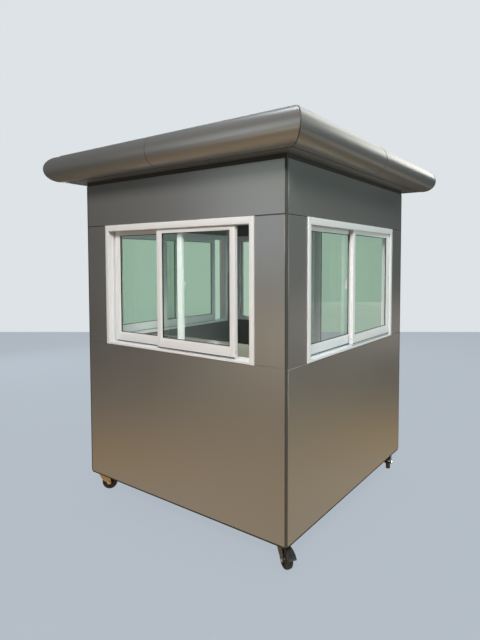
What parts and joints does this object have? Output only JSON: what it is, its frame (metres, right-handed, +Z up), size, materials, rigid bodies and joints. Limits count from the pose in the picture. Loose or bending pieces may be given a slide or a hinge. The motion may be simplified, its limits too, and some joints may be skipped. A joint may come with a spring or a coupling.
{
  "type": "security guard booth",
  "caption": "Square metal-clad guard cabin on swivel casters, with sliding windows, a glazed back door, a worktop and a flat roof with a wide rounded edge.",
  "frame": {"origin": "centre of the booth's footprint on the ground, under the wheels", "axes": "+Z up; the front wall with its sliding window faces -Y, the door is in the back wall (+Y), the right wall faces +X"},
  "size_m": [1.986, 1.986, 2.269],
  "materials": {
    "cladding": "satin metallic grey composite sheet",
    "dark_steel": "dark grey satin paint",
    "white_aluminium": "white powder coat, satin",
    "clear_glass": "clear, smooth",
    "handle_steel": "brushed",
    "pale_sheet": "pale grey, satin",
    "floor_covering": "matt grey vinyl",
    "worktop_board": "laminated board, matt",
    "zinc_plate": "yellow zinc plate",
    "black_steel": "black, satin",
    "black_wheel": "black, matt"
  },
  "bodies": {
    "root": {"side_base_rails": "dark_steel", "cross_base_rails": "dark_steel", "floor_board": "floor_covering", "corner_posts": "dark_steel", "front_lower_panel": "cladding", "front_side_panels": "cladding", "front_upper_panel": "cladding", "right_lower_panel": "cladding", "right_side_panels": "cladding", "right_upper_panel": "cladding", "left_lower_panel": "cladding", "left_side_panels": "cladding", "left_upper_panel": "cladding", "back_lower_panel": "cladding", "back_side_panels": "cladding", "back_upper_panel": "cladding", "head_rails": "dark_steel", "front_window_frame": "white_aluminium", "right_window_frame": "white_aluminium", "left_window_frame": "white_aluminium", "back_window_frame": "white_aluminium", "front_window_sashes": "white_aluminium", "right_window_sashes": "white_aluminium", "left_window_sashes": "white_aluminium", "window_glass": "clear_glass", "window_latches": "white_aluminium", "door_frame": "white_aluminium", "soffit": "cladding", "ceiling": "pale_sheet", "roof_beams": "dark_steel", "roof_sheet": "pale_sheet", "fascia": "cladding", "worktop": "worktop_board", "caster_plates": "zinc_plate"},
    "door": {"door_leaf": "white_aluminium", "door_glass": "clear_glass", "door_handles": "handle_steel"},
    "front_left_caster": {"front_left_fork": "zinc_plate"},
    "front_left_wheel_body": {"front_left_wheel": "black_wheel"},
    "front_right_caster": {"front_right_fork": "black_steel"},
    "front_right_wheel_body": {"front_right_wheel": "black_wheel"},
    "back_right_caster": {"back_right_fork": "black_steel"},
    "back_right_wheel_body": {"back_right_wheel": "black_wheel"},
    "back_left_caster": {"back_left_fork": "black_steel"},
    "back_left_wheel_body": {"back_left_wheel": "black_wheel"}
  },
  "joints": [
    {"name": "door_hinge", "type": "hinge", "parent": "root", "child": "door", "pos_m": [0.0605, 0.8145, 1.12], "axis": [0, 0, 1], "range_deg": [0, 100]},
    {"name": "front_left_swivel", "type": "hinge", "parent": "root", "child": "front_left_caster", "pos_m": [-0.74, -0.74, 0.112], "axis": [0, 0, 1], "continuous": true},
    {"name": "front_left_roll", "type": "hinge", "parent": "front_left_caster", "child": "front_left_wheel_body", "pos_m": [-0.70887, -0.7182, 0.05], "axis": [-0.5736, 0.8192, 0], "continuous": true},
    {"name": "front_right_swivel", "type": "hinge", "parent": "root", "child": "front_right_caster", "pos_m": [0.74, -0.74, 0.112], "axis": [0, 0, 1], "continuous": true},
    {"name": "front_right_roll", "type": "hinge", "parent": "front_right_caster", "child": "front_right_wheel_body", "pos_m": [0.77291, -0.759, 0.05], "axis": [0.5, 0.866, 0], "continuous": true},
    {"name": "back_right_swivel", "type": "hinge", "parent": "root", "child": "back_right_caster", "pos_m": [0.74, 0.74, 0.112], "axis": [0, 0, 1], "continuous": true},
    {"name": "back_right_roll", "type": "hinge", "parent": "back_right_caster", "child": "back_right_wheel_body", "pos_m": [0.753, 0.70429, 0.05], "axis": [0.9397, 0.342, 0], "continuous": true},
    {"name": "back_left_swivel", "type": "hinge", "parent": "root", "child": "back_left_caster", "pos_m": [-0.74, 0.74, 0.112], "axis": [0, 0, 1], "continuous": true},
    {"name": "back_left_roll", "type": "hinge", "parent": "back_left_caster", "child": "back_left_wheel_body", "pos_m": [-0.77571, 0.753, 0.05], "axis": [-0.342, -0.9397, 0], "continuous": true}
  ]
}
